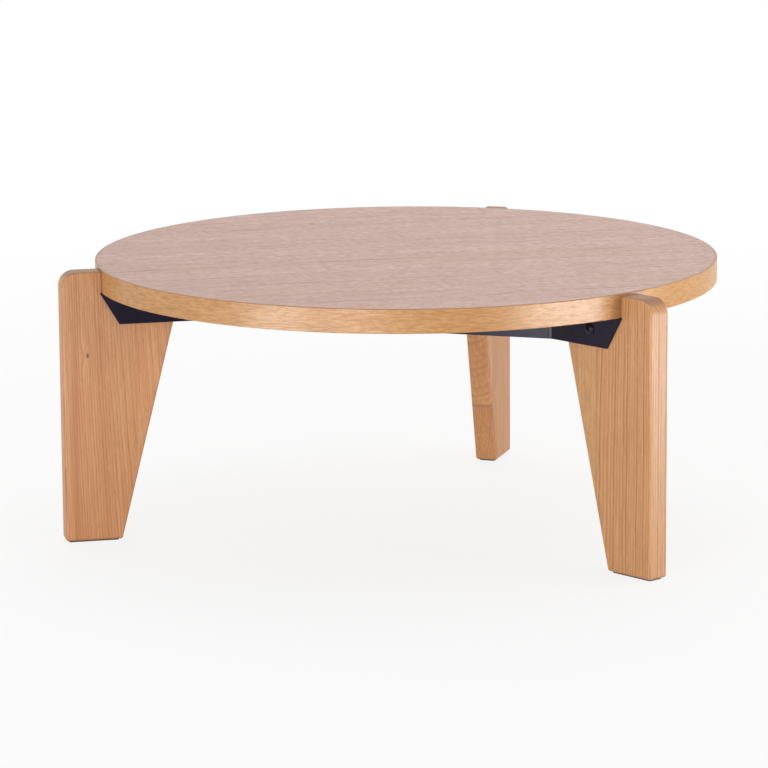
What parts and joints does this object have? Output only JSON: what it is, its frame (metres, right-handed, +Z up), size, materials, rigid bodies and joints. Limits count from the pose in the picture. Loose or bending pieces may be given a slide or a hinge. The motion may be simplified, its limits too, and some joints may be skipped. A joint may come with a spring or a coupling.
{
  "type": "round low table",
  "caption": "Round low table: a veneered top rests in notches of broad tapered plank legs, which bent steel brackets clamp from both sides under the top.",
  "frame": {"origin": "centre of the top's upper face; the floor is 397 mm below it", "axes": "+Z up along the table's axis of three-fold symmetry, +Y towards the rear leg, +X to the right as seen from the side with two legs"},
  "size_m": [0.9, 0.957, 0.397],
  "materials": {
    "face_veneer": "satin oak veneer, pinkish beige, fine short streaks that run 31 degrees round from +X",
    "backing_veneer": "matt oak veneer",
    "core_board": "raw pressed board, hidden",
    "edge_band": "matt oiled oak lipping, golden, grain round the edge",
    "leg_oak": "matt oiled solid oak, upright grain",
    "pad_felt": "brown felt",
    "bracket_steel": "blue-black powder coat, satin",
    "bolt_steel": "black plated steel, satin",
    "insert_zinc": "zinc plated, hidden"
  },
  "bodies": {
    "root": {"tabletop_core": "core_board", "tabletop_face_veneer": "face_veneer", "tabletop_backing_veneer": "backing_veneer", "tabletop_edge_band": "edge_band", "leg_rear_outer_stave": "leg_oak", "leg_rear_inner_stave": "leg_oak", "leg_left_outer_stave": "leg_oak", "leg_left_inner_stave": "leg_oak", "leg_right_outer_stave": "leg_oak", "leg_right_inner_stave": "leg_oak", "foot_pad_rear": "pad_felt", "foot_pad_left": "pad_felt", "foot_pad_right": "pad_felt", "bracket_front": "bracket_steel", "bracket_left": "bracket_steel", "bracket_right": "bracket_steel", "leg_bolts": "bolt_steel", "leg_sleeve_nuts": "bolt_steel", "bracket_screws": "bolt_steel", "top_inserts": "insert_zinc"}
  },
  "joints": []
}
